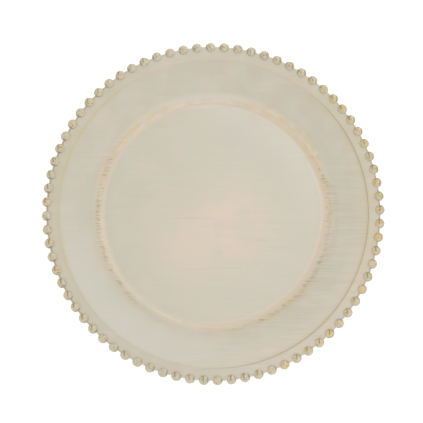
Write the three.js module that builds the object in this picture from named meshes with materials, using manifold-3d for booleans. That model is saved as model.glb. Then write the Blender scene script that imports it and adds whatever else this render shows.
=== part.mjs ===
// A round serving plate with a beaded edge: a shallow dish, and a bead edging slotted onto its rim.
// Millimetres, +Z up. The origin is on the table, under the middle of the plate.

import * as THREE from "three";
import { mergeVertices } from "three/addons/utils/BufferGeometryUtils.js";
import Module from "manifold-3d";

// Driving dimensions of the whole plate
const OVERALL_DIAMETER = 330; // across two opposite beads
const OVERALL_HEIGHT = 21; // from the table to the tops of the beads
const PLATE_THICKNESS = 2.8; // floor, wall and rim alike

// Driving dimensions of the rim and its border
const BORDER_WIDTH = 10.25; // flat border, from its step to the rim's edge
const BORDER_STEP = 0.6; // how far the border stands above the rim
const STEP_RUN = 0.4; // plan width of the step's slope
const RIM_WIDTH = 37.2; // from the step in to the shoulder at the top of the wall
const RIM_RISE = 8; // climb of the rim from the shoulder out to the step

// Driving dimensions of the well and its foot
const WALL_RUN = 6; // plan width of the sloping wall
const WELL_FILLET = 2.5; // hollow curve between floor and wall
const SHOULDER_FILLET = 1.5; // hollow curve under the shoulder
const FOOT_HEIGHT = 1.5;
const FOOT_WIDTH = 4; // flat ring that stands on the table
const FOOT_DRAFT = 0.5; // plan width of each side of the foot

// Driving dimensions of the bead edging
const BEAD_DIAMETER = 9.7;
const STRIP_COUNT = 19;
const BEADS_PER_STRIP = 4;
const EDGING_THICKNESS = 1.2; // radial thickness of the band that joins the beads
const FIT_CLEARANCE = 0.3; // between the edging and the rim, and between strip ends

// Fineness of the round surfaces
const FACETS_PER_BEAD = 1; // of the dish and its rim, each facet in line with a bead
const FILLET_STEPS = 2; // each fillet has twice as many facets
const BEAD_FACETS_ROUND = 10;
const BEAD_FACETS_DOWN = 6;

// Heights and radii that follow from the driving dimensions
const BEAD_RADIUS = BEAD_DIAMETER / 2;
const BEAD_RING_RADIUS = OVERALL_DIAMETER / 2 - BEAD_RADIUS;
const BEAD_CENTRE_Z = OVERALL_HEIGHT - BEAD_RADIUS;
const EDGING_INNER_RADIUS = BEAD_RING_RADIUS - EDGING_THICKNESS / 2;
const EDGING_OUTER_RADIUS = BEAD_RING_RADIUS + EDGING_THICKNESS / 2;
const RIM_EDGE_RADIUS = EDGING_INNER_RADIUS - FIT_CLEARANCE;
const EDGE_THICKNESS = PLATE_THICKNESS + BORDER_STEP;
const BORDER_TOP_Z = BEAD_CENTRE_Z + EDGE_THICKNESS / 2;
const BORDER_UNDERSIDE_Z = BORDER_TOP_Z - EDGE_THICKNESS;
const STEP_TOP_RADIUS = RIM_EDGE_RADIUS - BORDER_WIDTH;
const STEP_FOOT_RADIUS = STEP_TOP_RADIUS - STEP_RUN;
const STEP_FOOT_Z = BORDER_TOP_Z - BORDER_STEP;
const SHOULDER_RADIUS = STEP_FOOT_RADIUS - RIM_WIDTH;
const SHOULDER_Z = STEP_FOOT_Z - RIM_RISE;
const WELL_RADIUS = SHOULDER_RADIUS - WALL_RUN;
const FLOOR_TOP_Z = FOOT_HEIGHT + PLATE_THICKNESS;
const FOOT_OUTER_RADIUS = WELL_RADIUS - WELL_FILLET - FOOT_DRAFT;
const FOOT_INNER_RADIUS = FOOT_OUTER_RADIUS - FOOT_WIDTH;

// Angles round the rim
const FULL_TURN = 2 * Math.PI;
const STRIP_ANGLE = FULL_TURN / STRIP_COUNT;
const BEAD_ANGLE = STRIP_ANGLE / BEADS_PER_STRIP;
const PLATE_FACETS = STRIP_COUNT * BEADS_PER_STRIP * FACETS_PER_BEAD;

const wasm = await Module();
wasm.setup();

// Profile points are (distance from the axis, height above the table).
function at(radius, height) {
  return new THREE.Vector2(radius, height);
}

// Turns a profile into a ring or dish about the Z axis.
function revolve(points) {
  const turned = new THREE.LatheGeometry(points, PLATE_FACETS);
  turned.rotateX(Math.PI / 2);
  return turned.rotateZ(Math.PI / 2 + BEAD_ANGLE / 2);
}

// A closed geometry as a solid that can be joined and cut.
function solidFrom(geometry) {
  const bare = geometry.clone();
  bare.deleteAttribute("normal");
  bare.deleteAttribute("uv");
  const merged = mergeVertices(bare);
  const mesh = new wasm.Mesh({
    numProp: 3,
    vertProperties: merged.getAttribute("position").array,
    triVerts: Uint32Array.from(merged.getIndex().array),
  });
  return new wasm.Manifold(mesh);
}

// A joined or cut solid as a geometry again.
function geometryFrom(solid) {
  const mesh = solid.getMesh();
  const geometry = new THREE.BufferGeometry();
  geometry.setAttribute("position", new THREE.BufferAttribute(mesh.vertProperties, 3));
  geometry.setIndex(new THREE.BufferAttribute(mesh.triVerts, 1));
  geometry.computeVertexNormals();
  return geometry;
}

// The unit normal of a profile line, on its underside when the line runs outwards.
function undersideNormal(from, to) {
  const along = to.clone().sub(from).normalize();
  return at(along.y, -along.x);
}

// The corner below a corner of the upper surface, one plate thickness away from both of its lines.
function cornerBelow(before, corner, after) {
  const first = undersideNormal(before, corner);
  const second = undersideNormal(corner, after);
  const mitre = PLATE_THICKNESS / (1 + first.dot(second));
  return corner.clone().addScaledVector(first.add(second), mitre);
}

// Takes a path round a corner on an arc that touches both of the corner's lines.
function turnCorner(path, before, corner, after, radius) {
  const back = before.clone().sub(corner).normalize();
  const ahead = after.clone().sub(corner).normalize();
  const halfAngle = back.angleTo(ahead) / 2;
  const inward = back.clone().add(ahead).normalize();
  const centre = corner.clone().addScaledVector(inward, radius / Math.sin(halfAngle));
  const reach = radius / Math.tan(halfAngle);
  const start = corner.clone().addScaledVector(back, reach).sub(centre);
  const end = corner.clone().addScaledVector(ahead, reach).sub(centre);
  const clockwise = start.cross(end) < 0;
  path.absarc(centre.x, centre.y, radius, start.angle(), end.angle(), clockwise);
}

// The dish: floor on a foot ring, wall, rim and raised border, all of one thickness.
function plateBody() {
  const floorMiddle = at(0, FLOOR_TOP_Z);
  const wellCorner = at(WELL_RADIUS, FLOOR_TOP_Z);
  const shoulder = at(SHOULDER_RADIUS, SHOULDER_Z);
  const stepFoot = at(STEP_FOOT_RADIUS, STEP_FOOT_Z);
  const levelWithStepFoot = at(RIM_EDGE_RADIUS, STEP_FOOT_Z);

  const footSide = at(FOOT_OUTER_RADIUS + FOOT_DRAFT, FOOT_HEIGHT);
  const wellCornerBelow = cornerBelow(floorMiddle, wellCorner, shoulder);
  const shoulderBelow = cornerBelow(wellCorner, shoulder, stepFoot);
  const stepFootBelow = cornerBelow(shoulder, stepFoot, levelWithStepFoot);

  const path = new THREE.Path();
  path.moveTo(0, FOOT_HEIGHT);
  path.lineTo(FOOT_INNER_RADIUS - FOOT_DRAFT, FOOT_HEIGHT);
  path.lineTo(FOOT_INNER_RADIUS, 0);
  path.lineTo(FOOT_OUTER_RADIUS, 0);
  path.lineTo(footSide.x, footSide.y);
  turnCorner(path, footSide, wellCornerBelow, shoulderBelow, WELL_FILLET + PLATE_THICKNESS);
  turnCorner(path, wellCornerBelow, shoulderBelow, stepFootBelow, SHOULDER_FILLET);
  path.lineTo(stepFootBelow.x, stepFootBelow.y);
  path.lineTo(RIM_EDGE_RADIUS, BORDER_UNDERSIDE_Z);
  path.lineTo(RIM_EDGE_RADIUS, BORDER_TOP_Z);
  path.lineTo(STEP_TOP_RADIUS, BORDER_TOP_Z);
  path.lineTo(stepFoot.x, stepFoot.y);
  turnCorner(path, stepFoot, shoulder, wellCorner, SHOULDER_FILLET + PLATE_THICKNESS);
  turnCorner(path, shoulder, wellCorner, floorMiddle, WELL_FILLET);
  path.lineTo(floorMiddle.x, floorMiddle.y);
  return revolve(path.getPoints(FILLET_STEPS));
}

// The room that the beads leave for the rim: its edge, with clearance above, below and outside.
function rimSlot() {
  const inner = BEAD_RING_RADIUS - BEAD_DIAMETER;
  const bottom = BORDER_UNDERSIDE_Z - FIT_CLEARANCE;
  const top = BORDER_TOP_Z + FIT_CLEARANCE;
  return revolve([
    at(inner, bottom),
    at(EDGING_INNER_RADIUS, bottom),
    at(EDGING_INNER_RADIUS, top),
    at(inner, top),
    at(inner, bottom),
  ]);
}

// The thin band along the rim's edge that joins the beads of one strip.
function edgingBand() {
  const endGap = FIT_CLEARANCE / BEAD_RING_RADIUS;
  const start = (endGap - BEAD_ANGLE) / 2;
  const end = start + STRIP_ANGLE - endGap;
  const outline = new THREE.Shape();
  outline.absarc(0, 0, EDGING_OUTER_RADIUS, start, end, false);
  outline.absarc(0, 0, RIM_EDGE_RADIUS, end, start, true);
  const band = new THREE.ExtrudeGeometry(outline, {
    depth: EDGE_THICKNESS,
    bevelEnabled: false,
    curveSegments: BEADS_PER_STRIP,
  });
  return band.translate(0, 0, BORDER_UNDERSIDE_Z);
}

// One ball of the edging, with its poles up and down.
function bead(angle) {
  const ball = new THREE.SphereGeometry(BEAD_RADIUS, BEAD_FACETS_ROUND, BEAD_FACETS_DOWN);
  ball.rotateX(Math.PI / 2);
  ball.translate(BEAD_RING_RADIUS, 0, BEAD_CENTRE_Z);
  return ball.rotateZ(angle);
}

// A length of edging: its beads on their band, slotted to grip the rim.
function beadStrip() {
  let strip = solidFrom(edgingBand());
  for (let i = 0; i < BEADS_PER_STRIP; i += 1) {
    strip = strip.add(solidFrom(bead(i * BEAD_ANGLE)));
  }
  return geometryFrom(strip.subtract(solidFrom(rimSlot())));
}

// Ivory lacquer, satin on the dish
function plateFinish() {
  return new THREE.MeshStandardMaterial({ color: 0xcfc7b5, roughness: 0.45, metalness: 0 });
}

// The same lacquer with gold rubbed over it
function beadFinish() {
  return new THREE.MeshStandardMaterial({ color: 0xc4b89c, roughness: 0.4, metalness: 0.1 });
}

function namedMesh(name, geometry, material) {
  const mesh = new THREE.Mesh(geometry, material);
  mesh.name = name;
  return mesh;
}

const plate = new THREE.Group();
plate.name = "beaded_plate";
plate.add(namedMesh("plate_body", plateBody(), plateFinish()));

const stripGeometry = beadStrip();
for (let i = 0; i < STRIP_COUNT; i += 1) {
  const number = String(i + 1).padStart(2, "0");
  const strip = namedMesh(`bead_strip_${number}`, stripGeometry, beadFinish());
  strip.rotation.z = i * STRIP_ANGLE;
  plate.add(strip);
}

export default plate;
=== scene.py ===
# A round ivory plate with a beaded edge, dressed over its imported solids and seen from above.
# Metres, +Z up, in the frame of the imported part: the origin is on the table under its middle.

import math
from collections import namedtuple

import bmesh
import bpy
from mathutils import Color, Matrix, Vector, noise


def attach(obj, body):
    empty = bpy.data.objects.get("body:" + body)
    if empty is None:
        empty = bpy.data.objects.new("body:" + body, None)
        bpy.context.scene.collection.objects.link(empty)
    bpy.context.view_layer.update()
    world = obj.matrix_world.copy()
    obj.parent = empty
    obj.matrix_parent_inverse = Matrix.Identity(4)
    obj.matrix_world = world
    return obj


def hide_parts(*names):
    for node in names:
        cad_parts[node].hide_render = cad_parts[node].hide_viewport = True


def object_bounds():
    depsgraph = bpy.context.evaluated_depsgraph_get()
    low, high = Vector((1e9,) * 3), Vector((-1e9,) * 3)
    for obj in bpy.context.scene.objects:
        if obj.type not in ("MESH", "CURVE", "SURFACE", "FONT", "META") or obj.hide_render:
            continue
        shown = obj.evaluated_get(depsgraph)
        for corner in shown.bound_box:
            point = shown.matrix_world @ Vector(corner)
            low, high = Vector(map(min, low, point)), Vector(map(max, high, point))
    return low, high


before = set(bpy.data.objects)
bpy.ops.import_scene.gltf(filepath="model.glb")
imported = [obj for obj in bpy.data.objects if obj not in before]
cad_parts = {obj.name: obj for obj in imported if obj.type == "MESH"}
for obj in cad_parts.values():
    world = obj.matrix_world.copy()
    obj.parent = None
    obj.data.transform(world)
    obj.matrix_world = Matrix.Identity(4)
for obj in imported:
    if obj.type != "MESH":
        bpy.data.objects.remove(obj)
cad_low, cad_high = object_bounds()

MM = 0.001
FULL_TURN = 2 * math.pi

# Sizes of the whole plate and the names of its strips of beads, from the frame
OVERALL_RADIUS = cad_high.x
OVERALL_HEIGHT = cad_high.z
STRIP_NAMES = sorted(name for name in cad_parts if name.startswith("bead_strip_"))

# Driving sizes of the dish, the same as in the solids
PLATE_THICKNESS = 2.8 * MM
BORDER_WIDTH = 10.25 * MM  # flat border, from its step to the rim's edge
BORDER_STEP = 0.6 * MM
STEP_RUN = 0.4 * MM
RIM_WIDTH = 37.2 * MM  # from the step in to the shoulder at the top of the wall
RIM_RISE = 8 * MM
RIM_SAG = 0.4 * MM  # hollow of the rim below a straight line
WALL_RUN = 6 * MM
WELL_FILLET = 2.5 * MM
SHOULDER_FILLET = 1.5 * MM  # under the shoulder
FOOT_HEIGHT = 1.5 * MM
FOOT_WIDTH = 4 * MM
FOOT_DRAFT = 0.5 * MM
STEP_ROUNDING = 0.2 * MM
EDGE_ROUNDING = 0.5 * MM

# Driving sizes of the bead edging, the same as in the solids
BEAD_RADIUS = 4.85 * MM
BEADS_PER_STRIP = 4
EDGING_THICKNESS = 1.2 * MM
FIT_CLEARANCE = 0.3 * MM
SEAM = 0.02 * MM  # what the lacquer leaves open of the clearance between the edging and the rim
BEAD_UNEVENNESS = 0.06 * MM  # how far the hand-finished balls stray from round
UNEVENNESS_SPAN = 2.5 * MM

# Fineness of the surfaces
DISH_FACETS = 304
RIM_RINGS = 8
FLOOR_RINGS = 6
ARC_STEPS = 8
BEAD_FACETS_ROUND = 36
BEAD_FACETS_DOWN = 24
BAND_FACETS_PER_BEAD = 4
SMOOTH_ANGLE = math.radians(32)
WELD_REACH = 0.001 * MM

# Heights and radii that follow
BEAD_RING_RADIUS = OVERALL_RADIUS - BEAD_RADIUS
BEAD_CENTRE_Z = OVERALL_HEIGHT - BEAD_RADIUS
EDGING_INNER_RADIUS = BEAD_RING_RADIUS - EDGING_THICKNESS / 2
EDGING_OUTER_RADIUS = BEAD_RING_RADIUS + EDGING_THICKNESS / 2
RIM_EDGE_RADIUS = EDGING_INNER_RADIUS - FIT_CLEARANCE
EDGE_THICKNESS = PLATE_THICKNESS + BORDER_STEP
BORDER_TOP_Z = BEAD_CENTRE_Z + EDGE_THICKNESS / 2
BORDER_UNDERSIDE_Z = BORDER_TOP_Z - EDGE_THICKNESS
STEP_TOP_RADIUS = RIM_EDGE_RADIUS - BORDER_WIDTH
STEP_FOOT_RADIUS = STEP_TOP_RADIUS - STEP_RUN
STEP_FOOT_Z = BORDER_TOP_Z - BORDER_STEP
SHOULDER_RADIUS = STEP_FOOT_RADIUS - RIM_WIDTH
SHOULDER_Z = STEP_FOOT_Z - RIM_RISE
WELL_RADIUS = SHOULDER_RADIUS - WALL_RUN
FLOOR_TOP_Z = FOOT_HEIGHT + PLATE_THICKNESS
FOOT_OUTER_RADIUS = WELL_RADIUS - WELL_FILLET - FOOT_DRAFT
FOOT_INNER_RADIUS = FOOT_OUTER_RADIUS - FOOT_WIDTH

# Counts and angles round the rim
STRIP_COUNT = len(STRIP_NAMES)
BEAD_COUNT = STRIP_COUNT * BEADS_PER_STRIP
STRIP_ANGLE = FULL_TURN / STRIP_COUNT
BEAD_ANGLE = FULL_TURN / BEAD_COUNT

# The camera, as the ring of beads in the photograph places it
IMAGE_PIXELS = 423
FOCAL_PIXELS = 1642
SENSOR_WIDTH_MM = 36
CAMERA_DISTANCE = 1.5777
CAMERA_LEAN_X = math.radians(-2.64)
CAMERA_LEAN_Y = math.radians(-3.65)
CAMERA_ROLL = math.radians(-1.211)
PLATE_RIGHT_PIXELS = 2.56  # how far the plate's middle sits from the middle of the picture
PLATE_DOWN_PIXELS = 1.38

# The light: each share is what it adds to a white level surface, and the angles of a lamp are in degrees
Lamp = namedtuple("Lamp", "name share azimuth elevation distance size")
WORLD_SHARE = 0.85
LAMPS = (
    Lamp("key_softbox", share=0.11, azimuth=35, elevation=48, distance=1.8, size=1),
    Lamp("fill_softbox", share=0.04, azimuth=200, elevation=60, distance=2, size=1.6),
)

# The floor
FLOOR_SIZE = 30
FLOOR_DROP = 0.1 * MM
FLOOR_COLOUR = (0.86, 0.86, 0.86, 1)
FLOOR_GLOW = 0.55

# Numbers that the program gives a meaning
WHITE = (1, 1, 1, 1)
SCREEN_WHITE = 255
MATRIX_ROWS = 4
MIX_SHARE, MIX_UNDER, MIX_OVER, MIX_RESULT = 0, 6, 7, 2  # the sockets of a mix of colours


def srgb(red, green, blue):
    """A colour as a screen shows it, from 0 to 255, as the renderer's linear colour."""
    shown = Color((red, green, blue)) / SCREEN_WHITE
    return (*shown.from_srgb_to_scene_linear(), 1)


# The colours of the lacquer on the dish, some of them for light and shade painted on it
IVORY = srgb(209, 202, 185)
POOL_LIGHT_IVORY = srgb(224, 206, 187)
SHADED_IVORY = srgb(204, 196, 176)
LIT_IVORY = srgb(213, 207, 192)
PINK_IVORY = srgb(214, 200, 187)
SEA_IVORY = srgb(203, 202, 188)
GREEN_IVORY = srgb(188, 198, 180)
RIM_IVORY = srgb(205, 197, 180)
LIT_COOL_IVORY = srgb(205, 201, 187)
DUSKY_IVORY = srgb(199, 190, 170)
BORDER_IVORY = srgb(205, 197, 179)

# The colours of what is washed and rubbed over the lacquer, and of light painted on it
OCHRE = srgb(199, 185, 150)
LIT_PEACH = srgb(227, 213, 194)
PEACH = srgb(226, 207, 186)
HIGHLIGHT_CREAM = srgb(230, 218, 195)
AMBER = srgb(236, 207, 165)
ORANGE = srgb(219, 191, 150)
LINE_BROWN = srgb(168, 150, 118)
RUB_OLIVE = srgb(181, 167, 129)
PALE_OLIVE = srgb(202, 196, 156)
DAB_BROWN = srgb(147, 129, 78)

# The colours of the beads
BEAD_IVORY = srgb(203, 195, 172)
# Pale for rubbed places, and for the painted light on the beads' fronts
BEAD_PALE = srgb(224, 216, 198)
GOLD = srgb(214, 184, 110)
OLIVE_GOLD = srgb(200, 186, 114)
COPPER = srgb(224, 181, 126)
LIGHT_GOLD = srgb(234, 197, 116)
# Grey for the wash on the beads and for the shade painted round them
WASH_AND_SHADE_GREY = srgb(142, 140, 127)
# Brown for the dark specks and for the dark stripes painted as reflections
STRIPE_AND_SPECK_BROWN = srgb(152, 125, 80)

# A side of the plate that a wash favours: the way it lies, how far round from there the wash is full
# and from where on there is none, all in degrees, and the wash's share.
Side = namedtuple("Side", "azimuth full none share", defaults=(1,))

# A round patch on the plate: its middle, how far out it fades to nothing, and its share in the middle
Spot = namedtuple("Spot", "x y reach share", defaults=(1,))

# A ring on the plate: its radius, and how far it fades out to either side
Ring = namedtuple("Ring", "radius reach")

# A tone that one side of the plate has, and a tint on part of a ring
Tone = namedtuple("Tone", "side colour")
Tint = namedtuple("Tint", "ring side colour")

# A share that goes smoothly from low at the start to high at the end, and stays there beyond them
Fade = namedtuple("Fade", "start end low high", defaults=(0, 1, 0, 1))

# Uneven marks: their length and width, the noise at which they begin and are full, their share there
# and there, and the fine detail in them.
Marks = namedtuple("Marks", "length width begin full least most detail", defaults=(0, 1, 2))

# Marks that are as long as they are wide
Clouds = namedtuple("Clouds", "size begin full least most detail", defaults=(0, 1, 2))

# A dark stripe up a bead, painted as a dark reflection: the lots that settle its place and share, how far
# left and right it may lie, where it starts and ends, and its share.
ReflectionStripe = namedtuple("ReflectionStripe", "place_lot share_lot leftmost rightmost foot head share")

# A single brush stroke across the well: where it starts and ends, how far up it lies, and its share
Stroke = namedtuple("Stroke", "start end up share")

# The coat of the well: painted shade to the left, painted light along the upper right edge and greenish
# near it, and a warm painted pool of light in the middle
# Painted shade darkens the well to the left, and painted light brightens its upper right edge
WELL_SHADE = Fade(start=0.38 * WELL_RADIUS, end=-0.9 * WELL_RADIUS, high=0.9)
WELL_LIGHT = Fade(start=0.66 * WELL_RADIUS, end=0.97 * WELL_RADIUS)
WELL_LIGHT_SIDE = Side(azimuth=48, full=15, none=62)
# Warm painted pools of light in the middle of the well
LIGHT_POOLS = (
    Spot(x=17 * MM, y=-13 * MM, reach=65 * MM),
    Spot(x=-22 * MM, y=-30 * MM, reach=75 * MM, share=0.6),
)
SEA_SPOTS = (
    Spot(x=28 * MM, y=74 * MM, reach=40 * MM, share=0.6),
    Spot(x=60 * MM, y=47 * MM, reach=28 * MM, share=0.4),
)
WELL_OUTSKIRTS = Ring(0.8 * WELL_RADIUS, reach=0.17 * WELL_RADIUS)
WELL_TINTS = (
    Tint(WELL_OUTSKIRTS, Side(azimuth=180, full=105, none=145, share=0.1), GREEN_IVORY),
)

# The coat of the rim: cool painted light to the lower left, painted shade to the right, and fainter tints
# along it, some of them painted light and shade
PAST_WELL = Fade(start=WELL_RADIUS, end=SHOULDER_RADIUS + 2 * MM)
RIM_LIGHT = Fade(start=SHOULDER_RADIUS + 0.18 * RIM_WIDTH, end=SHOULDER_RADIUS + 0.55 * RIM_WIDTH)
RIM_LIGHT_SIDE = Side(azimuth=222, full=16, none=66)
RIM_SHADE_TONES = (
    Tone(Side(azimuth=14, full=40, none=100, share=0.7), DUSKY_IVORY),
    Tone(Side(azimuth=130, full=40, none=80, share=0.4), DUSKY_IVORY),
)
RIM_FOOT = Ring(SHOULDER_RADIUS + 2.8 * MM, reach=5.4 * MM)
RIM_LOW = Ring(SHOULDER_RADIUS + 11 * MM, reach=9 * MM)
RIM_MIDDLE = Ring(SHOULDER_RADIUS + 15 * MM, reach=12 * MM)
RIM_TOP = Ring(STEP_FOOT_RADIUS - 5 * MM, reach=13 * MM)
RIM_TINTS_AND_LIGHT = (
    # Painted light on the rim's foot at the top
    Tint(RIM_FOOT, Side(azimuth=80, full=85, none=130, share=0.8), LIT_IVORY),
    # Painted shade on the inner rim at the lower right
    Tint(RIM_LOW, Side(azimuth=305, full=18, none=36, share=0.55), DUSKY_IVORY),
    Tint(RIM_MIDDLE, Side(azimuth=192, full=22, none=46, share=0.28), GREEN_IVORY),
    # Painted light on the outer rim at the lower right
    Tint(RIM_TOP, Side(azimuth=-30, full=30, none=75, share=0.2), LIT_PEACH),
    Tint(RIM_TOP, Side(azimuth=20, full=22, none=46, share=0.17), OCHRE),
)

# The coat of the border
ON_BORDER = Fade(start=STEP_FOOT_RADIUS - 2.6 * MM, end=STEP_TOP_RADIUS + MM)
BORDER_TONES = (
    Tone(Side(azimuth=190, full=50, none=100, share=0.5), DUSKY_IVORY),
    Tone(Side(azimuth=325, full=18, none=50, share=0.28), PEACH),
    Tone(Side(azimuth=28, full=30, none=72, share=0.3), OCHRE),
    Tone(Side(azimuth=160, full=30, none=60, share=0.24), OCHRE),
)

# Faint clouds in the lacquer
PINK_CLOUDS = Clouds(size=26 * MM, begin=0.42, full=0.75, most=0.5)
GREEN_CLOUDS = Clouds(size=19 * MM, begin=0.45, full=0.75, most=0.4, detail=1)

# The peach wash on the wall of the well and round the edge of its floor, paler at the floor's edge and on
# top of the wall where light is painted, with a painted cream highlight at the lower left
WASH_SHARE = Fade(start=-0.85 * WELL_RADIUS, end=0.2 * WELL_RADIUS, low=0.42)  # up the plate
# The pale peach round the floor's edge is partly painted light against the shade in the well's corner
FLOOR_EDGE = Ring(WELL_RADIUS + 1.4 * MM, reach=3 * MM)
FLOOR_EDGE_SPAN = 0.57 * WELL_RADIUS
FLOOR_EDGE_SHARE = Fade(start=-FLOOR_EDGE_SPAN, end=FLOOR_EDGE_SPAN, low=0.45, high=0.95)  # to the right
WARM_EDGE_SIDE = Side(azimuth=305, full=30, none=70)
BARE_EDGE_SIDE = Side(azimuth=52, full=20, none=46, share=0.6)
EDGE_INWARD_SIDES = (  # where the edge lies further in, each with how far as its share
    WARM_EDGE_SIDE._replace(share=1.3 * MM),
    Side(azimuth=58, full=30, none=58, share=1.2 * MM),
)
WALL = Ring(SHOULDER_RADIUS - 0.7 * MM, reach=4.2 * MM)
WALL_MARKS = Marks(length=11 * MM, width=6 * MM, begin=0.3, full=0.6, least=0.45)
# Painted light on the wall at the top
WALL_LIT_SIDE = Side(azimuth=95, full=25, none=60)
WALL_INWARD_SIDES = (WALL_LIT_SIDE._replace(share=1.5 * MM),)
# A painted cream highlight on the lit lower left of the wall
CREAM_HIGHLIGHT = Ring(SHOULDER_RADIUS - 2.8 * MM, reach=2.7 * MM)
CREAM_HIGHLIGHT_MARKS = Marks(length=10 * MM, width=4 * MM, begin=0.35, full=0.6, least=0.3)
CREAM_HIGHLIGHT_SIDE = Side(azimuth=220, full=34, none=55, share=0.5)

# The amber and orange on the wall, and the tints round the floor's edge and along the shoulder, one of them
# a painted highlight on the shoulder at the top
AMBER_BAND = Ring(SHOULDER_RADIUS - 3.6 * MM, reach=3.4 * MM)
AMBER_SIDES = (
    Side(azimuth=-35, full=40, none=80, share=0.14),
    Side(azimuth=46, full=22, none=44, share=0.2),
)
ORANGE_BAND = Ring(SHOULDER_RADIUS + 0.8 * MM, reach=6 * MM)
ORANGE_MARKS = Marks(length=8 * MM, width=5 * MM, begin=0.4, full=0.64, least=0.25, detail=3)
ORANGE_SIDES = (
    Side(azimuth=42, full=14, none=42, share=0.66),
    Side(azimuth=137, full=12, none=34, share=0.6),
    Side(azimuth=300, full=12, none=36, share=0.35),
)
ORANGE_INWARD_SIDES = (Side(azimuth=50, full=28, none=52, share=1.5 * MM),)
FLOOR_LINE = Ring(WELL_RADIUS + 1.7 * MM, reach=1.1 * MM)
SHOULDER = Ring(SHOULDER_RADIUS, reach=4 * MM)
WALL_TINTS_AND_HIGHLIGHT = (
    Tint(FLOOR_LINE, Side(azimuth=92, full=14, none=42, share=0.2), ORANGE),
    # A painted highlight along the shoulder at the top
    Tint(SHOULDER, Side(azimuth=75, full=20, none=40, share=0.22), LIT_PEACH),
    Tint(SHOULDER, Side(azimuth=190, full=26, none=48, share=0.08), OCHRE),
)

# The olive and ochre rubbed along the shoulder
RUB_RISE = Fade(start=SHOULDER_RADIUS - 2 * MM, end=SHOULDER_RADIUS + 2 * MM)
OLIVE_FALL = Fade(start=SHOULDER_RADIUS + 12 * MM, end=SHOULDER_RADIUS + MM)
OLIVE_STROKES = Marks(length=16 * MM, width=1.6 * MM, begin=0.3, full=0.7, least=0.35, detail=3)
OLIVE_SIDES = (
    Side(azimuth=-42, full=40, none=75, share=0.38),
    Side(azimuth=194, full=40, none=72, share=0.38),
)
OCHRE_FALL = Fade(start=SHOULDER_RADIUS + 13 * MM, end=SHOULDER_RADIUS + 2 * MM)
OCHRE_MARKS = Marks(length=10 * MM, width=5 * MM, begin=0.38, full=0.62, least=0.1)
OCHRE_SIDE = Side(azimuth=32, full=16, none=46, share=0.6)

# The brown that a dry brush left on the shoulder, in short dabs and in hairs pulled out over the rim
DAB_BAND = Ring(SHOULDER_RADIUS + 1.6 * MM, reach=3.8 * MM)
DAB_STROKES = Marks(length=7 * MM, width=1.5 * MM, begin=0.4, full=0.68)
DAB_PATCHES = Clouds(size=7 * MM, begin=0.4, full=0.6, least=0.25)
DAB_SIDES = (
    Side(azimuth=169, full=6, none=16),
    Side(azimuth=188, full=30, none=52, share=0.7),
    Side(azimuth=-28, full=40, none=66, share=0.59),
)
DAB_SHARE = Fade(low=0.06, high=0.9)
DAB_INWARD_SIDES = (
    Side(azimuth=180, full=16, none=38, share=1.6 * MM),
    Side(azimuth=302, full=10, none=28, share=MM),
    Side(azimuth=15, full=18, none=36, share=1.4 * MM),
)
HAIR_SPAN = 34 * MM
HAIR_WIDTH = 0.75 * MM
HAIR_LENGTHS = Marks(HAIR_SPAN, HAIR_WIDTH, begin=0.5, full=0.75, least=0.5 * MM, most=32 * MM)
HAIR_STROKES = Marks(HAIR_SPAN, HAIR_WIDTH, begin=0.5, full=0.62, most=0.38)
HAIR_BUNCHES = Marks(length=60 * MM, width=7 * MM, begin=0.4, full=0.6, least=0.3)
HAIR_SIDE = Side(azimuth=-26, full=36, none=64)
HAIR_START = Fade(start=-MM, end=1.5 * MM)  # from the shoulder outwards

# The line where the border steps up, soft and ochre, and tints on it and in the crease at the rim's edge,
# partly painted light and shade
SOFT_LINE = Ring(STEP_TOP_RADIUS - 0.4 * MM, reach=4 * MM)
SOFT_LINE_SIDES = (
    Side(azimuth=-12, full=48, none=72),
    Side(azimuth=165, full=25, none=70, share=0.5),
)
SOFT_LINE_SHARE = Fade(low=0.12, high=0.42)
OLIVE_LINE = Ring(STEP_TOP_RADIUS - 0.2 * MM, reach=2.2 * MM)
BROWN_LINE = Ring(STEP_TOP_RADIUS, reach=MM)
PALE_LINE = Ring(STEP_TOP_RADIUS - 0.2 * MM, reach=MM)
CREASE = Ring(RIM_EDGE_RADIUS, reach=MM)
LINE_LIGHT_AND_SHADE = (
    # Pale olive on the left: an olive tint, made paler as painted light against the step's shade
    Tint(OLIVE_LINE, Side(azimuth=165, full=18, none=46, share=0.6), PALE_OLIVE),
    # Brown on the right: a wash, darkened as the step's painted shadow
    Tint(BROWN_LINE, Side(azimuth=-24, full=48, none=74, share=0.48), LINE_BROWN),
    # Pale peach on the top: painted light against the step's shade
    Tint(PALE_LINE, Side(azimuth=86, full=26, none=50, share=0.42), LIT_PEACH),
    # Brown in the crease on the left and right: a wash, and painted shade in the crease
    Tint(CREASE, Side(azimuth=176, full=14, none=46, share=0.6), LINE_BROWN),
    Tint(CREASE, Side(azimuth=-20, full=16, none=40, share=0.22), LINE_BROWN),
)

# Two brush strokes that stand out in the well
WELL_STROKES = (
    Stroke(start=-46 * MM, end=MM, up=-4 * MM, share=0.13),
    Stroke(start=-42 * MM, end=29 * MM, up=-53 * MM, share=0.08),
)
STROKE_REACH = 0.9 * MM
STROKE_LEAD_IN = 12 * MM
STROKE_LIFT = 4 * MM

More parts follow.
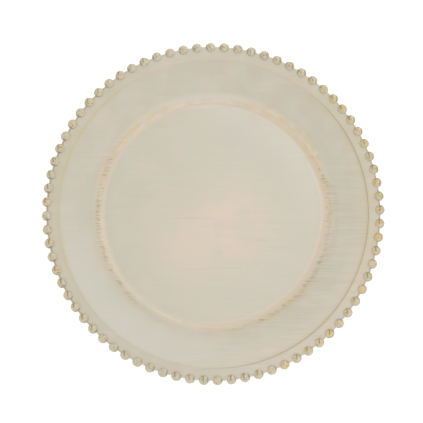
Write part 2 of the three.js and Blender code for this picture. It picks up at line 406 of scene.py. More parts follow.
# The brushing of the lacquer: how much it lightens and darkens, how satin it is and how deep
BRUSH_TURN = CAMERA_ROLL  # the strokes lie level in the photograph
STROKE_LENGTH = 30 * MM
STROKE_WIDTH = 1.3 * MM
FINE_STROKES = Marks(STROKE_LENGTH, STROKE_WIDTH, begin=0.25, full=0.75, least=-0.022, most=0.022, detail=3)
BROAD_STROKES = Marks(length=80 * MM, width=5 * MM, begin=0.25, full=0.75, least=-0.012, most=0.012)
BRUSH_PATCHES = Clouds(size=40 * MM, begin=0.38, full=0.62, least=0.15)
BRUSH_HEAVY_SIDE = Side(azimuth=-35, full=40, none=85, share=0.9)
SATIN_STROKES = Marks(STROKE_LENGTH, STROKE_WIDTH, begin=0.2, full=0.8, least=0.38, most=0.48, detail=3)
RELIEF_STROKES = Marks(STROKE_LENGTH, STROKE_WIDTH, begin=0, full=1, detail=3)
RELIEF_DEPTH = 0.015 * MM
UPPER_SIDE = Fade(start=-0.2, end=0.3)  # by how far up a surface looks, from -1 to 1

# What each bead draws by lot
METAL_LOT, THICKNESS_LOT, PLACE_LOT, SHARE_LOT, SECOND_PLACE_LOT, SECOND_SHARE_LOT = range(6)

# The gilding of the beads, by lot and thickest in the middle: places on a bead are in radii of the bead
GOLD_LOTS = Fade(start=0.05, end=0.3)
COPPER_LOTS = Fade(start=0.55, end=0.95)
GILT_TONES = (
    Tone(Side(azimuth=-45, full=20, none=48, share=0.6), LIGHT_GOLD),
    Tone(Side(azimuth=45, full=18, none=40, share=0.45), OLIVE_GOLD),
)
GILT_MIDDLE = Fade(start=0.95, end=0.33, low=0.2)
GILT_PATCHES = Clouds(size=3.6 * MM, begin=0.34, full=0.58, least=0.3)
GILT_THICKNESS = Fade(low=0.45)
GILT_SIDES = (
    Side(azimuth=-8, full=44, none=74),
    Side(azimuth=178, full=40, none=72, share=0.4),
)
GILT_RICHNESS = Fade(low=0.36, high=1.25)

# The way to the back of each bead, its upper left, where shade is painted, and the beads that have a pale
# back and outer side, without that painted shade
BACK_TURN = math.radians(118)
TOP_RIGHT = Side(azimuth=66, full=28, none=56, share=0.85)

# Where the beads are rubbed pale again, in flecks and on their outer and clockwise sides, and the painted
# light on their fronts, the lower right of each bead
PALE_FLECKS = Clouds(size=1.8 * MM, begin=0.5, full=0.7, most=0.65, detail=3)
OUTER_PALE = Fade(start=0.25, end=0.9)
OUTER_SHARE = 0.45
CLOCKWISE_PALE = Fade(start=-0.3, end=-0.82, high=0.55)
CLOCKWISE_CLOUDS = Clouds(size=4 * MM, begin=0.35, full=0.6)
FRONT_LIGHT = Fade(start=-0.15, end=-0.6)
FRONT_LIGHT_WITHIN = Fade(start=0.92, end=0.6)
FRONT_LIGHT_SHARE = 0.22
FRONT_LIGHT_SIDE = Side(azimuth=-38, full=28, none=62, share=0.55)

# The band between the beads: pale, and brown to the left and to the right
BETWEEN_BEADS = Fade(start=0.84, end=1, high=0.85)
BAND_SIDES = (
    Side(azimuth=180, full=30, none=80, share=0.95),
    Side(azimuth=5, full=25, none=55, share=0.75),
)
BAND_LINE = Ring(EDGING_INNER_RADIUS, reach=MM)
BAND_LEAST = 0.12

# The grey on each bead: painted shade round its edge, on its back and on the outer side of some, and a grey
# wash in a crescent high on the counter-clockwise side
EDGE_SHADE = Fade(start=0.58, end=0.9, high=0.26)
EDGE_GREY_CLOUDS = Clouds(size=3 * MM, begin=0.4, full=0.62)
OUTER_SHADE = Fade(start=0.3, end=0.75)
OUTER_SHADE_SIDES = (
    Side(azimuth=155, full=22, none=55, share=0.25),
    Side(azimuth=5, full=16, none=45, share=0.22),
)
BACK_SHADE = Fade(start=0.5, end=0.95, high=0.42)
CRESCENT = Fade(start=0.48, end=0.76)
CRESCENT_HEIGHT = Fade(start=-0.6, end=0.1)
CRESCENT_CLOUDS = Clouds(size=3 * MM, begin=0.62, full=0.42, least=0.15, most=0.85)

# The dark stripes up the beads, painted as dark reflections, and the dark specks on them
MIDDLE_REFLECTION = ReflectionStripe(
    PLACE_LOT, SHARE_LOT, leftmost=-0.38, rightmost=-0.08, foot=-0.32, head=1, share=0.95
)
RIGHT_REFLECTION = ReflectionStripe(
    SECOND_PLACE_LOT, SECOND_SHARE_LOT, leftmost=0.52, rightmost=0.66, foot=-0.75, head=0.7, share=0.8
)
RIGHT_REFLECTION_SIDE = Side(azimuth=28, full=35, none=68)
STRIPE_REACH = 0.25
STRIPE_TAPER = 0.3  # how far it takes to thicken and to thin out again
STRIPE_FULL_LOT = 0.6
STRIPE_INNER = Fade(start=0.35, end=-0.1)
DARK_SPECKS = Clouds(size=1.5 * MM, begin=0.44, full=0.34, most=0.85, detail=3)
SPECKS_WITHIN = Fade(start=0.78, end=0.58)

# The sheen and relief of the beads
BEAD_SATIN = Clouds(size=1.5 * MM, begin=0.2, full=0.8, least=0.34, most=0.5, detail=3)
BEAD_RELIEF = Clouds(size=1.5 * MM, begin=0, full=1, detail=3)
BEAD_RELIEF_DEPTH = 0.15 * MM


# Profile points are (distance from the axis, height above the table).
def at(radius, height):
    return Vector((radius, height))


def arc(before, corner, after, radius):
    """The points of an arc that takes a profile round a corner, touching both of the corner's lines."""
    back = (before - corner).normalized()
    ahead = (after - corner).normalized()
    half_angle = back.angle(ahead) / 2
    centre = corner + (back + ahead).normalized() * (radius / math.sin(half_angle))
    reach = radius / math.tan(half_angle)
    start = corner + back * reach - centre
    end = corner + ahead * reach - centre
    sweep = start.angle(end)
    points = []
    for i in range(ARC_STEPS + 1):
        share = i / ARC_STEPS
        spoke = start * math.sin((1 - share) * sweep) + end * math.sin(share * sweep)
        points.append(centre + spoke / math.sin(sweep))
    return points


def corner_below(before, corner, after):
    """The underside's corner below one of the upper side, a plate thickness from both of its lines."""
    first = (corner - before).normalized()
    second = (after - corner).normalized()
    normals = Vector((first.y, -first.x)) + Vector((second.y, -second.x))
    return corner + normals * (PLATE_THICKNESS / (1 + first.dot(second)))


def rim_line():
    """The hollow upper side of the rim, from just outside the shoulder to just inside the step."""
    points = []
    for i in range(1, RIM_RINGS):
        share = i / RIM_RINGS
        radius = SHOULDER_RADIUS + RIM_WIDTH * share
        sag = RIM_SAG * (1 - (2 * share - 1) ** 2)
        points.append(at(radius, SHOULDER_Z + RIM_RISE * share - sag))
    return points


def dish_profile():
    """The dish's outline: out along its upper side, round the rim's edge, and back underneath."""
    middle = at(0, FLOOR_TOP_Z)
    well_corner = at(WELL_RADIUS, FLOOR_TOP_Z)
    shoulder = at(SHOULDER_RADIUS, SHOULDER_Z)
    rim = rim_line()
    step_foot = at(STEP_FOOT_RADIUS, STEP_FOOT_Z)
    step_top = at(STEP_TOP_RADIUS, BORDER_TOP_Z)
    edge_top = at(RIM_EDGE_RADIUS, BORDER_TOP_Z)
    edge_bottom = at(RIM_EDGE_RADIUS, BORDER_UNDERSIDE_Z)
    level = at(RIM_EDGE_RADIUS, STEP_FOOT_Z)
    step_below = corner_below(shoulder, step_foot, level)
    shoulder_below = corner_below(well_corner, shoulder, step_foot)
    well_below = corner_below(middle, well_corner, shoulder)
    foot_side = at(FOOT_OUTER_RADIUS + FOOT_DRAFT, FOOT_HEIGHT)
    foot_outer = at(FOOT_OUTER_RADIUS, 0)
    foot_inner = at(FOOT_INNER_RADIUS, 0)
    foot_hollow = at(FOOT_INNER_RADIUS - FOOT_DRAFT, FOOT_HEIGHT)
    middle_below = at(0, FOOT_HEIGHT)

    outline = [middle.lerp(well_corner, i / (FLOOR_RINGS + 1)) for i in range(FLOOR_RINGS + 1)]
    outline += arc(middle, well_corner, shoulder, WELL_FILLET)
    outline += arc(well_corner, shoulder, rim[0], SHOULDER_FILLET + PLATE_THICKNESS)
    outline += rim
    outline += arc(rim[-1], step_foot, step_top, STEP_ROUNDING)
    outline += arc(step_foot, step_top, edge_top, STEP_ROUNDING)
    outline += arc(step_top, edge_top, edge_bottom, STEP_ROUNDING)
    outline += arc(edge_top, edge_bottom, step_below, EDGE_ROUNDING)
    outline += [step_below]
    outline += arc(step_below, shoulder_below, well_below, SHOULDER_FILLET)
    outline += arc(shoulder_below, well_below, foot_side, WELL_FILLET + PLATE_THICKNESS)
    outline += [foot_side]
    outline += arc(foot_side, foot_outer, foot_inner, STEP_ROUNDING)
    outline += arc(foot_outer, foot_inner, foot_hollow, STEP_ROUNDING)
    outline += [foot_hollow, middle_below]
    return outline


def new_object(name, mesh):
    made = bpy.data.objects.new(name, mesh)
    bpy.context.scene.collection.objects.link(made)
    return made


def solid(name, points, faces):
    """A closed mesh of those points and faces, with all faces looking outwards."""
    mesh = bpy.data.meshes.new(name)
    mesh.from_pydata(points, [], faces)
    shape = bmesh.new()
    shape.from_mesh(mesh)
    bmesh.ops.recalc_face_normals(shape, faces=shape.faces)
    shape.to_mesh(mesh)
    shape.free()
    return mesh


def ring_point(point, angle):
    return (point.x * math.cos(angle), point.x * math.sin(angle), point.y)


def revolved(name, outline):
    """A closed shape turned about the axis: its outline starts and ends on the axis."""
    rings = outline[1:-1]
    last = len(rings) - 1
    points = []
    for point in rings:
        points += [ring_point(point, FULL_TURN * i / DISH_FACETS) for i in range(DISH_FACETS)]
    start_pole = len(points)
    end_pole = start_pole + 1
    points += [ring_point(outline[0], 0), ring_point(outline[-1], 0)]

    def index(ring, turn):
        return ring * DISH_FACETS + turn % DISH_FACETS

    faces = []
    for turn in range(DISH_FACETS):
        faces.append((start_pole, index(0, turn), index(0, turn + 1)))
        faces.append((end_pole, index(last, turn + 1), index(last, turn)))
        for ring in range(last):
            nearer = (index(ring, turn), index(ring, turn + 1))
            farther = (index(ring + 1, turn + 1), index(ring + 1, turn))
            faces.append(nearer + farther)
    return solid(name, points, faces)


def swept(name, section, start, end):
    """A solid with that closed section, swept about the axis from one angle to another."""
    steps = BEADS_PER_STRIP * BAND_FACETS_PER_BEAD
    count = len(section)
    points = []
    for i in range(steps + 1):
        angle = start + (end - start) * i / steps
        points += [ring_point(point, angle) for point in section]
    faces = [tuple(range(count)), tuple(range(steps * count, (steps + 1) * count))]
    for i in range(steps):
        for j in range(count):
            here = i * count + j
            beside = i * count + (j + 1) % count
            faces.append((here, beside, beside + count, here + count))
    return solid(name, points, faces)


def cut_or_join(target, tool, operation):
    """Joins a tool to an object or cuts it out, and uses the tool up."""
    modifier = target.modifiers.new(operation, "BOOLEAN")
    modifier.operation = operation
    modifier.object = tool
    shown = target.evaluated_get(bpy.context.evaluated_depsgraph_get())
    mesh = bpy.data.meshes.new_from_object(shown)
    target.modifiers.clear()
    target.data = mesh
    bpy.data.objects.remove(tool)


def weld(mesh):
    """Merges the points that a cut left in the same place."""
    shape = bmesh.new()
    shape.from_mesh(mesh)
    bmesh.ops.remove_doubles(shape, verts=shape.verts, dist=WELD_REACH)
    shape.to_mesh(mesh)
    shape.free()


def bead_row():
    """The balls of one strip."""
    shape = bmesh.new()
    for i in range(BEADS_PER_STRIP):
        turn = Matrix.Rotation(i * BEAD_ANGLE, MATRIX_ROWS, "Z")
        place = turn @ Matrix.Translation((BEAD_RING_RADIUS, 0, BEAD_CENTRE_Z))
        facets = {"u_segments": BEAD_FACETS_ROUND, "v_segments": BEAD_FACETS_DOWN}
        bmesh.ops.create_uvsphere(shape, radius=BEAD_RADIUS, matrix=place, **facets)
    mesh = bpy.data.meshes.new("bead_row")
    shape.to_mesh(mesh)
    shape.free()
    return mesh


def edging_band():
    """The thin rounded band along the rim's edge that joins the beads of a strip."""
    low_in = at(RIM_EDGE_RADIUS, BORDER_UNDERSIDE_Z)
    low_out = at(EDGING_OUTER_RADIUS, BORDER_UNDERSIDE_Z)
    high_out = at(EDGING_OUTER_RADIUS, BORDER_TOP_Z)
    high_in = at(RIM_EDGE_RADIUS, BORDER_TOP_Z)
    section = [low_in]
    section += arc(low_in, low_out, high_out, EDGE_ROUNDING)
    section += arc(low_out, high_out, high_in, EDGE_ROUNDING)
    section += [high_in]
    end_gap = FIT_CLEARANCE / BEAD_RING_RADIUS
    start = (end_gap - BEAD_ANGLE) / 2
    return swept("edging_band", section, start, start + STRIP_ANGLE - end_gap)


def rim_slot():
    """The room that the beads leave for the rim's edge."""
    inner = BEAD_RING_RADIUS - 2 * BEAD_RADIUS
    outer = RIM_EDGE_RADIUS + SEAM
    bottom = BORDER_UNDERSIDE_Z - SEAM
    top = BORDER_TOP_Z + SEAM
    section = [at(inner, bottom), at(outer, bottom), at(outer, top), at(inner, top)]
    return swept("rim_slot", section, -BEAD_ANGLE, STRIP_ANGLE)


def bead_strip():
    """One length of edging, at the first strip's place."""
    strip = new_object("strip_pattern", edging_band())
    cut_or_join(strip, new_object("strip_beads", bead_row()), "UNION")
    cut_or_join(strip, new_object("strip_slot", rim_slot()), "DIFFERENCE")
    mesh = strip.data
    bpy.data.objects.remove(strip)
    weld(mesh)
    return mesh


def roughen(mesh):
    """Makes each ball of a strip very slightly uneven, each in its own way."""
    for vertex in mesh.vertices:
        around = math.atan2(vertex.co.y, vertex.co.x)
        angle = round(around / BEAD_ANGLE) * BEAD_ANGLE
        centre = Vector(ring_point(at(BEAD_RING_RADIUS, BEAD_CENTRE_Z), angle))
        spoke = vertex.co - centre
        on_skin = abs(spoke.length - BEAD_RADIUS) < BEAD_UNEVENNESS
        if on_skin:
            stray = noise.noise(vertex.co / UNEVENNESS_SPAN)
            vertex.co += spoke.normalized() * (stray * BEAD_UNEVENNESS)


def smooth(mesh):
    mesh.shade_smooth()
    mesh.set_sharp_from_angle(angle=SMOOTH_ANGLE)


def dress(piece, material, node):
    """Paints a piece and sets it in the place of its solid."""
    smooth(piece.data)
    piece.data.materials.clear()
    piece.data.materials.append(material)
    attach(piece, "root")
    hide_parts(node)


class Nodes:
    """The nodes of a material or a world, with short ways to add more."""

    def __init__(self, owner):
        owner.use_nodes = True
        self.owner = owner
        self.nodes = owner.node_tree.nodes
        self.links = owner.node_tree.links

    def fill(self, node, values):
        """Gives a node its inputs: each is linked to an output of another node, or set to a value."""
        for key, value in values.items():
            if isinstance(value, bpy.types.NodeSocket):
                self.links.new(value, node.inputs[key])
            else:
                node.inputs[key].default_value = value

    def add(self, kind, values, **settings):
        """Adds a node with those inputs and settings, and gives back its outputs."""
        made = self.nodes.new("ShaderNode" + kind)
        for name, setting in settings.items():
            setattr(made, name, setting)
        self.fill(made, values)
        return made.outputs

    def math(self, operation, *values):
        return self.add("Math", dict(enumerate(values)), operation=operation)[0]

    def product(self, first, *others):
        for other in others:
            first = self.math("MULTIPLY", first, other)
        return first

    def most(self, first, *others):
        for other in others:
            first = self.math("MAXIMUM", first, other)
        return first


class Paint(Nodes):
    """A material being painted in the plate's own frame."""

    def __init__(self, name):
        super().__init__(bpy.data.materials.new(name))
        place = self.add("TexCoord", {})["Object"]
        self.x, self.y, self.z = self.add("SeparateXYZ", {"Vector": place})
        self.radius = self.distance(self.x, self.y)

    def distance(self, across, along):
        squares = self.math("MULTIPLY_ADD", across, across, self.product(along, along))
        return self.math("SQRT", squares)

    def turned(self, across, along, angle):
        """How far a point lies along a line at that angle."""
        part = self.product(across, math.cos(angle))
        return self.math("MULTIPLY_ADD", along, math.sin(angle), part)

    def ramp(self, value, start, end, low=0, high=1):
        """Goes smoothly from low at start to high at end, and stays there beyond them."""
        values = {"Value": value, "From Min": start, "From Max": end, "To Min": low, "To Max": high}
        return self.add("MapRange", values, interpolation_type="SMOOTHSTEP")["Result"]

    def fade(self, value, fade):
        """The share that a fade has at a value."""
        return self.ramp(value, *fade)

    def near(self, value, middle, reach):
        """1 where a value is at the middle, and 0 where it is further off than the reach."""
        return self.ramp(self.math("ABSOLUTE", self.math("SUBTRACT", value, middle)), reach, 0)

    def ring(self, ring):
        """1 on a ring, fading to 0 at its reach on either side."""
        return self.near(self.radius, ring.radius, ring.reach)

    def ring_inward(self, ring, sides):
        """The same for a ring that lies further in on some sides, each with how far as its share."""
        place = self.math("ADD", self.radius, self.sides(sides))
        return self.near(place, ring.radius, ring.reach)

    def spot(self, spot):
        """A spot's share in its middle, fading to 0 at its reach."""
        across = self.math("SUBTRACT", self.x, spot.x)
        along = self.math("SUBTRACT", self.y, spot.y)
        return self.ramp(self.distance(across, along), spot.reach, 0, 0, spot.share)

    def spots(self, spots):
        return self.most(*(self.spot(spot) for spot in spots))

    def side(self, side):
        """A side's share there, fading to 0 round the plate."""
        along = self.turned(self.x, self.y, math.radians(side.azimuth))
        cosine = self.math("DIVIDE", along, self.radius)
        none = math.cos(math.radians(side.none))
        full = math.cos(math.radians(side.full))
        return self.ramp(cosine, none, full, 0, side.share)

    def sides(self, sides):
        return self.most(*(self.side(side) for side in sides))

    def away(self, side):
        """1 away from a side, and the less the greater its share is."""
        return self.ramp(self.side(side), 1, 0)

    def noise(self, places, lengths, kind):
        """The share of marks at each place, from noise with features of those lengths."""
        shares = {}
        for i, (place, length) in enumerate(zip(places, lengths)):
            shares[i] = self.math("DIVIDE", place, length)
        vector = self.add("CombineXYZ", shares)[0]
        level = self.add("TexNoise", {"Vector": vector, "Scale": 1, "Detail": kind.detail})[0]
        return self.ramp(level, kind.begin, kind.full, kind.least, kind.most)

    def clouds(self, clouds):
        """Marks in round spots."""
        places = (self.x, self.y, self.z)
        return self.noise(places, (clouds.size,) * len(places), clouds)

    def ring_marks(self, marks):
        """Marks that run round the plate."""
        return self.noise((self.x, self.y, self.radius), (marks.length, marks.length, marks.width), marks)

    def strokes(self, marks):
        """Marks that run straight across the plate, as the brush went."""
        along = self.turned(self.x, self.y, BRUSH_TURN)
        across = self.turned(self.y, self.x, -BRUSH_TURN)
        return self.noise((along, across), (marks.length, marks.width), marks)

    def mix(self, share, under, over):
        """One colour over another, by its share."""
        values = {MIX_SHARE: share, MIX_UNDER: under, MIX_OVER: over}
        return self.add("Mix", values, data_type="RGBA")[MIX_RESULT]

    def tones(self, tones, colour):
        """Tones over a colour, each on its own side."""
        for tone in tones:
            colour = self.mix(self.side(tone.side), colour, tone.colour)
        return colour

    def tints(self, tints, colour):
        """Tints over a colour, each on its own ring and side."""
        for tint in tints:
            share = self.product(self.ring(tint.ring), self.side(tint.side))
            colour = self.mix(share, colour, tint.colour)
        return colour

    def shade(self, colour, strength):
        """A colour made lighter or darker by a strength about 1."""
        return self.add("VectorMath", {0: colour, "Scale": strength}, operation="SCALE")[0]

    def finish(self, colour, roughness, relief, depth):
        """Sets what the shader gets: colour, roughness, and a relief of that depth."""
        bump = self.add("Bump", {"Height": relief, "Distance": depth, "Strength": 1})[0]
        values = {"Base Color": colour, "Roughness": roughness, "Normal": bump}
        self.fill(self.nodes["Principled BSDF"], values)
        return self.owner


def well_coat(paint):
    """Ivory: painted shade to the left, painted light along the upper right edge, greenish near it, and a
    warm painted pool of light in the middle.
    """
    colour = paint.mix(paint.fade(paint.x, WELL_SHADE), IVORY, SHADED_IVORY)
    lit_edge = paint.product(paint.fade(paint.radius, WELL_LIGHT), paint.side(WELL_LIGHT_SIDE))
    colour = paint.mix(lit_edge, colour, LIT_IVORY)
    colour = paint.mix(paint.spots(SEA_SPOTS), colour, SEA_IVORY)
    colour = paint.mix(paint.spots(LIGHT_POOLS), colour, POOL_LIGHT_IVORY)
    return paint.tints(WELL_TINTS, colour)


def rim_coat(paint):
    """Deeper ivory than in the well: cool painted light to the lower left, painted shade to the right, and
    faint tints, some of them painted light and shade.
    """
    lit_rim = paint.product(paint.fade(paint.radius, RIM_LIGHT), paint.side(RIM_LIGHT_SIDE))
    colour = paint.mix(lit_rim, RIM_IVORY, LIT_COOL_IVORY)
    return paint.tints(RIM_TINTS_AND_LIGHT, paint.tones(RIM_SHADE_TONES, colour))


def border_coat(paint):
    """Ivory, dim to the left, warm to the lower right, and a little ochre on both sides."""
    return paint.tones(BORDER_TONES, BORDER_IVORY)


def ivory_coat(paint):
    """The lacquer itself, on the well, the rim and the border, with light and shade painted into it there.
    """
    on_border = paint.fade(paint.radius, ON_BORDER)
    colour = paint.mix(on_border, rim_coat(paint), border_coat(paint))
    past_well = paint.fade(paint.radius, PAST_WELL)
    colour = paint.mix(past_well, well_coat(paint), colour)
    colour = paint.mix(paint.clouds(PINK_CLOUDS), colour, PINK_IVORY)
    return paint.mix(paint.clouds(GREEN_CLOUDS), colour, SEA_IVORY)


def peach_wash_and_light(paint, colour):
    """Pale peach round the floor's edge, partly painted light against the shade in the well's corner; peach
    up the wall, paler on top with painted light; and a painted cream highlight at its lower left.
    """
    wash = paint.fade(paint.y, WASH_SHARE)
    edge_share = paint.product(paint.fade(paint.x, FLOOR_EDGE_SHARE), wash, paint.away(BARE_EDGE_SIDE))
    edge = paint.product(paint.ring_inward(FLOOR_EDGE, EDGE_INWARD_SIDES), edge_share)
    colour = paint.mix(edge, colour, paint.mix(paint.side(WARM_EDGE_SIDE), LIT_PEACH, PEACH))
    wall = paint.product(paint.ring_inward(WALL, WALL_INWARD_SIDES), paint.ring_marks(WALL_MARKS), wash)
    colour = paint.mix(wall, colour, paint.mix(paint.side(WALL_LIT_SIDE), PEACH, LIT_PEACH))
    cream_highlight = paint.product(paint.ring(CREAM_HIGHLIGHT), paint.ring_marks(CREAM_HIGHLIGHT_MARKS), paint.side(CREAM_HIGHLIGHT_SIDE))
    return paint.mix(cream_highlight, colour, HIGHLIGHT_CREAM)


def orange_wash(paint, colour):
    """Amber and patches of orange on the wall, and faint tints at the floor's edge and the shoulder, one of
    them a painted highlight along the shoulder at the top.
    """
    amber = paint.product(paint.ring(AMBER_BAND), paint.sides(AMBER_SIDES))
    colour = paint.mix(amber, colour, AMBER)
    band = paint.ring_inward(ORANGE_BAND, ORANGE_INWARD_SIDES)
    patches = paint.product(band, paint.ring_marks(ORANGE_MARKS), paint.sides(ORANGE_SIDES))
    return paint.tints(WALL_TINTS_AND_HIGHLIGHT, paint.mix(patches, colour, ORANGE))


def shoulder_rub(paint, colour):
    """Olive and ochre rubbed along the shoulder, fading out over the rim."""
    rising = paint.fade(paint.radius, RUB_RISE)
    falling = paint.fade(paint.radius, OLIVE_FALL)
    olive = paint.product(rising, falling, paint.strokes(OLIVE_STROKES), paint.sides(OLIVE_SIDES))
    colour = paint.mix(olive, colour, RUB_OLIVE)
    falling = paint.fade(paint.radius, OCHRE_FALL)
    ochre = paint.product(rising, falling, paint.ring_marks(OCHRE_MARKS), paint.side(OCHRE_SIDE))
    return paint.mix(ochre, colour, OCHRE)


def shoulder_dabs(paint, colour):
    """Brown dry brushing that catches on the shoulder in dabs, most on the left and the lower right."""
    band = paint.ring_inward(DAB_BAND, DAB_INWARD_SIDES)
    share = paint.fade(paint.sides(DAB_SIDES), DAB_SHARE)
    dabs = paint.product(band, paint.strokes(DAB_STROKES), paint.clouds(DAB_PATCHES), share)
    return paint.mix(dabs, colour, DAB_BROWN)


def shoulder_hairs(paint, colour):
    """Thin streaks that the brush pulled off the shoulder, out over the rim on the right."""
    height_squared = paint.product(paint.y, paint.y)
    chord_squared = paint.math("SUBTRACT", SHOULDER_RADIUS ** 2, height_squared)
    chord = paint.math("SQRT", paint.most(chord_squared, 0))
    beyond = paint.math("SUBTRACT", paint.x, chord)
    starting = paint.fade(beyond, HAIR_START)
    ending = paint.ramp(beyond, paint.strokes(HAIR_LENGTHS), 0)
    thick = paint.product(paint.strokes(HAIR_STROKES), paint.strokes(HAIR_BUNCHES), paint.side(HAIR_SIDE))
    return paint.mix(paint.product(starting, ending, thick), colour, DAB_BROWN)


def rim_lines(paint, colour):
    """The line where the border steps up, soft and ochre, and tints on it and in the crease at the edge,
    partly painted light and shade.
    """
    share = paint.fade(paint.sides(SOFT_LINE_SIDES), SOFT_LINE_SHARE)
    colour = paint.mix(paint.product(paint.ring(SOFT_LINE), share), colour, OCHRE)
    return paint.tints(LINE_LIGHT_AND_SHADE, colour)


def stroke_share(paint, stroke):
    """The share of one brush stroke across the well."""
    starting = paint.ramp(paint.x, stroke.start, stroke.start + STROKE_LEAD_IN)
    ending = paint.ramp(paint.x, stroke.end, stroke.end - STROKE_LIFT)
    return paint.product(paint.near(paint.y, stroke.up, STROKE_REACH), starting, ending, stroke.share)


def well_strokes(paint, colour):
    """The brush strokes that stand out in the well."""
    share = paint.most(*(stroke_share(paint, stroke) for stroke in WELL_STROKES))
    return paint.mix(share, colour, DAB_BROWN)


def brushing(paint):
    """How far the brush strokes lighten or darken the lacquer, about 1: in patches, more on the right."""
    heavier = paint.product(paint.side(BRUSH_HEAVY_SIDE), paint.fade(paint.radius, PAST_WELL))
    strength = paint.math("ADD", heavier, paint.clouds(BRUSH_PATCHES))
    grain = paint.math("ADD", paint.strokes(FINE_STROKES), paint.strokes(BROAD_STROKES))
    return paint.math("MULTIPLY_ADD", grain, strength, 1)


def ivory_finish():
    """Satin ivory lacquer, brushed across, with gold-brown rubbed on the edges of the upper side."""
    paint = Paint("ivory_lacquer")
    colour = ivory_coat(paint)
    layers = (peach_wash_and_light, orange_wash, shoulder_rub, shoulder_dabs, shoulder_hairs)
    layers += (rim_lines, well_strokes)
    for layer in layers:
        colour = layer(paint, colour)
    looking = paint.add("SeparateXYZ", {"Vector": paint.add("NewGeometry", {})["Normal"]})
    upper_side = paint.fade(looking["Z"], UPPER_SIDE)
    colour = paint.shade(paint.mix(upper_side, IVORY, colour), brushing(paint))
    return paint.finish(colour, paint.strokes(SATIN_STROKES), paint.strokes(RELIEF_STROKES), RELIEF_DEPTH)


class BeadPaint(Paint):
    """Paint that also knows where it is on its own bead, seen from above, in radii of the bead."""

    def __init__(self, name):
        super().__init__(name)
        around = self.math("ARCTAN2", self.y, self.x)
        nearest = self.math("ROUND", self.math("DIVIDE", around, BEAD_ANGLE))
        angle = self.product(nearest, BEAD_ANGLE)
        self.number = self.math("FLOORED_MODULO", nearest, BEAD_COUNT)
        turn = self.math("SUBTRACT", around, angle)
        self.onward = self.product(turn, BEAD_RING_RADIUS / BEAD_RADIUS)
        self.outward = self.radii(self.radius, BEAD_RING_RADIUS)
        self.right = self.radii(self.x, self.product(self.math("COSINE", angle), BEAD_RING_RADIUS))
        self.up = self.radii(self.y, self.product(self.math("SINE", angle), BEAD_RING_RADIUS))
        self.height = self.radii(self.z, BEAD_CENTRE_Z)
        self.back = self.turned(self.right, self.up, BACK_TURN)
        self.off_middle = self.distance(self.right, self.up)

    def radii(self, place, middle):
        """How far a place lies past the middle, in radii of the bead."""
        return self.math("DIVIDE", self.math("SUBTRACT", place, middle), BEAD_RADIUS)

    def lot(self, draw):
        """A number from 0 to 1 that each bead has for itself, another one for each draw."""
        seed = self.math("ADD", self.number, draw * BEAD_COUNT)
        return self.add("TexWhiteNoise", {"W": seed}, noise_dimensions="1D")["Value"]


def gilding(paint):
    """Olive gold, gold or copper rubbed on the middle of each bead, thickest on the plate's right."""
    lot = paint.lot(METAL_LOT)
    metal = paint.mix(paint.fade(lot, GOLD_LOTS), OLIVE_GOLD, GOLD)
    metal = paint.mix(paint.fade(lot, COPPER_LOTS), metal, COPPER)
    metal = paint.tones(GILT_TONES, metal)
    kept = paint.fade(paint.off_middle, GILT_MIDDLE)
    thickness = paint.fade(paint.lot(THICKNESS_LOT), GILT_THICKNESS)
    richness = paint.fade(paint.sides(GILT_SIDES), GILT_RICHNESS)
    share = paint.product(kept, paint.clouds(GILT_PATCHES), thickness, richness)
    return paint.mix(share, BEAD_IVORY, metal)


def bead_flecks_and_light(paint, colour):
    """Pale flecks where the gold is rubbed off, pale outer and clockwise sides, and painted light on the
    fronts.
    """
    colour = paint.mix(paint.clouds(PALE_FLECKS), colour, BEAD_PALE)
    outer_share = paint.most(OUTER_SHARE, paint.side(TOP_RIGHT))
    outer = paint.product(paint.fade(paint.outward, OUTER_PALE), outer_share)
    clockwise = paint.product(paint.fade(paint.onward, CLOCKWISE_PALE), paint.clouds(CLOCKWISE_CLOUDS))
    lit_front_share = paint.most(FRONT_LIGHT_SHARE, paint.side(FRONT_LIGHT_SIDE))
    within = paint.fade(paint.off_middle, FRONT_LIGHT_WITHIN)
    lit_front = paint.product(paint.fade(paint.back, FRONT_LIGHT), within, lit_front_share)
    return paint.mix(paint.most(outer, clockwise, lit_front), colour, BEAD_PALE)


def bead_wash_and_shade(paint, colour):
    """Painted shade round the edge of each bead, on its back and on its outer upper side, and a grey wash
    high on its counter-clockwise side.
    """
    edge = paint.product(paint.fade(paint.off_middle, EDGE_SHADE), paint.clouds(EDGE_GREY_CLOUDS))
    outer = paint.product(paint.fade(paint.outward, OUTER_SHADE), paint.sides(OUTER_SHADE_SIDES))
    back = paint.product(paint.fade(paint.back, BACK_SHADE), paint.away(TOP_RIGHT))
    high_up = paint.fade(paint.height, CRESCENT_HEIGHT)
    crescent = paint.product(paint.fade(paint.onward, CRESCENT), high_up, paint.clouds(CRESCENT_CLOUDS))
    return paint.mix(paint.most(edge, outer, back, crescent), colour, WASH_AND_SHADE_GREY)


def reflection_stripe(paint, stripe):
    """The share of a dark stripe up a bead, a painted reflection."""
    place = paint.ramp(paint.lot(stripe.place_lot), 0, 1, stripe.leftmost, stripe.rightmost)
    across = paint.near(paint.right, place, STRIPE_REACH)
    starting = paint.ramp(paint.up, stripe.foot, stripe.foot + STRIPE_TAPER)
    ending = paint.ramp(paint.up, stripe.head, stripe.head - STRIPE_TAPER)
    share = paint.ramp(paint.lot(stripe.share_lot), 0, STRIPE_FULL_LOT, 0, stripe.share)
    return paint.product(across, starting, ending, share)


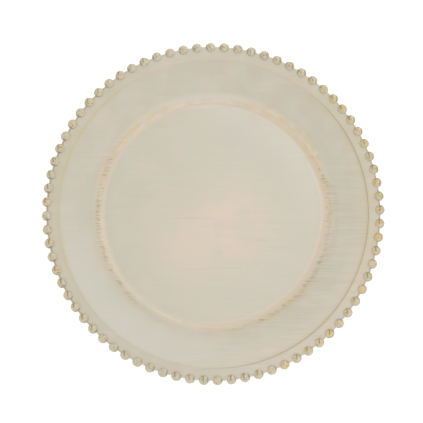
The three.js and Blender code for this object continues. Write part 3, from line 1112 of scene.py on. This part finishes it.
def bead_reflections_and_specks(paint, colour):
    """A dark stripe up each bead and a second one on the right of the plate, both painted reflections, and
    dark specks.
    """
    kept = paint.most(paint.fade(paint.outward, STRIPE_INNER), paint.away(TOP_RIGHT))
    middle = paint.product(reflection_stripe(paint, MIDDLE_REFLECTION), kept)
    right = paint.product(reflection_stripe(paint, RIGHT_REFLECTION), paint.side(RIGHT_REFLECTION_SIDE))
    specks = paint.product(paint.clouds(DARK_SPECKS), paint.fade(paint.off_middle, SPECKS_WITHIN))
    return paint.mix(paint.most(middle, right, specks), colour, STRIPE_AND_SPECK_BROWN)


def band_coat(paint, colour):
    """Pale lacquer on the band between the beads, browned on the left and the right of the plate."""
    brown = paint.most(BAND_LEAST, paint.product(paint.ring(BAND_LINE), paint.sides(BAND_SIDES)))
    between = paint.fade(paint.math("ABSOLUTE", paint.onward), BETWEEN_BEADS)
    return paint.mix(between, colour, paint.mix(brown, BEAD_PALE, LINE_BROWN))


def bead_finish():
    """The same lacquer, with gold rubbed unevenly over each bead, a grey wash, painted shade and light,
    dark specks, and dark stripes that are painted reflections.
    """
    paint = BeadPaint("gilded_beads")
    colour = gilding(paint)
    for layer in (bead_flecks_and_light, bead_wash_and_shade, bead_reflections_and_specks, band_coat):
        colour = layer(paint, colour)
    return paint.finish(colour, paint.clouds(BEAD_SATIN), paint.clouds(BEAD_RELIEF), BEAD_RELIEF_DEPTH)


def backdrop_rays(tree):
    """1 for the rays that should see a white background: from the camera, mirrored or let through."""
    rays = tree.add("LightPath", {})
    return tree.most(rays["Is Camera Ray"], rays["Is Glossy Ray"], rays["Is Transmission Ray"])


def floor_finish():
    """Matt white paper that glows a little to the camera, so that it reads as a white background."""
    paper = Nodes(bpy.data.materials.new("white_floor"))
    glow = paper.product(backdrop_rays(paper), FLOOR_GLOW)
    values = {"Base Color": FLOOR_COLOUR, "Roughness": 1, "Specular IOR Level": 0}
    values.update({"Emission Color": WHITE, "Emission Strength": glow})
    paper.fill(paper.nodes["Principled BSDF"], values)
    return paper.owner


def make_floor():
    shape = bmesh.new()
    bmesh.ops.create_grid(shape, x_segments=1, y_segments=1, size=FLOOR_SIZE / 2)
    mesh = bpy.data.meshes.new("floor")
    shape.to_mesh(mesh)
    shape.free()
    floor = new_object("floor", mesh)
    floor.location.z = -FLOOR_DROP
    floor.data.materials.append(floor_finish())


def make_world():
    """Even white light from all round, which the camera sees as plain white."""
    sky = Nodes(bpy.data.worlds.new("studio"))
    values = {"Value": backdrop_rays(sky), "To Min": WORLD_SHARE, "To Max": 1}
    strength = sky.add("MapRange", values)["Result"]
    sky.fill(sky.nodes["Background"], {"Color": WHITE, "Strength": strength})
    bpy.context.scene.world = sky.owner


def add_softbox(lamp):
    """A square soft lamp that faces the plate."""
    azimuth = math.radians(lamp.azimuth)
    elevation = math.radians(lamp.elevation)
    back = Vector(ring_point(at(math.cos(elevation), math.sin(elevation)), azimuth))
    light = bpy.data.lights.new(lamp.name, "AREA")
    light.size = lamp.size
    light.energy = lamp.share * (math.pi * lamp.distance) ** 2 / math.sin(elevation)
    softbox = new_object(lamp.name, light)
    softbox.location = back * lamp.distance
    softbox.rotation_euler = back.to_track_quat("Z", "Y").to_euler()


def make_camera():
    """A long lens from above, leaning a few degrees to the lower left of the picture."""
    back_x = math.sin(CAMERA_LEAN_X)
    back_y = math.sin(CAMERA_LEAN_Y)
    back = Vector((back_x, back_y, math.sqrt(1 - back_x ** 2 - back_y ** 2)))
    picture_up = Vector((-math.sin(CAMERA_ROLL), math.cos(CAMERA_ROLL), 0))
    right = picture_up.cross(back).normalized()
    up = back.cross(right)
    turn = Matrix((right, up, back)).transposed()
    lens = bpy.data.cameras.new("camera")
    lens.sensor_width = SENSOR_WIDTH_MM
    lens.lens = FOCAL_PIXELS / IMAGE_PIXELS * SENSOR_WIDTH_MM
    lens.shift_x = -PLATE_RIGHT_PIXELS / IMAGE_PIXELS
    lens.shift_y = PLATE_DOWN_PIXELS / IMAGE_PIXELS
    camera = new_object("camera", lens)
    camera.rotation_euler = turn.to_euler()
    camera.location = Vector((0, 0, BEAD_CENTRE_Z)) + back * CAMERA_DISTANCE
    bpy.context.scene.camera = camera


def make_plate():
    dish = new_object("dish", revolved("dish", dish_profile()))
    dress(dish, ivory_finish(), "plate_body")
    pattern = bead_strip()
    lacquer = bead_finish()
    for i, strip_name in enumerate(STRIP_NAMES):
        mesh = pattern.copy()
        mesh.transform(Matrix.Rotation(i * STRIP_ANGLE, MATRIX_ROWS, "Z"))
        roughen(mesh)
        piece_name = strip_name.replace("bead_strip", "beads")
        dress(new_object(piece_name, mesh), lacquer, strip_name)


make_plate()
make_floor()
make_world()
for lamp in LAMPS:
    add_softbox(lamp)
make_camera()
bpy.context.scene.view_settings.view_transform = "Standard"
